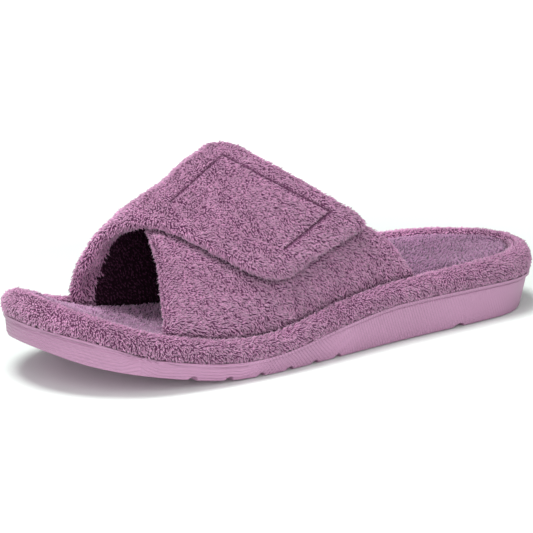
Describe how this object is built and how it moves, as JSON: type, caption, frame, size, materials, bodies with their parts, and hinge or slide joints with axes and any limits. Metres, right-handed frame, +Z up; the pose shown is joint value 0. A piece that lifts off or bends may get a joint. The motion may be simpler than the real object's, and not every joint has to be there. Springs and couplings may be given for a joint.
{
  "type": "scuff slipper",
  "caption": "Open-toe, open-heel terry slide slipper with a crossed strap upper, a hook-and-loop flap, a soft rimmed footbed and a moulded rubber outsole.",
  "frame": {"origin": "on the floor, under the middle of the slipper's bounding box", "axes": "+Z up, -Y towards the toe, +Y towards the heel, +X towards the outer side of this left slipper"},
  "size_m": [0.0946, 0.2616, 0.0871],
  "materials": {
    "sole_rubber": "satin moulded foam rubber with fine ribs on its side",
    "terry": "short looped terry pile, matt with a soft sheen",
    "insole_plush": "flatter, greyer terry plush"
  },
  "bodies": {
    "root": {"outsole": "sole_rubber", "footbed": "terry", "insole": "insole_plush", "upper": "terry"}
  },
  "joints": []
}
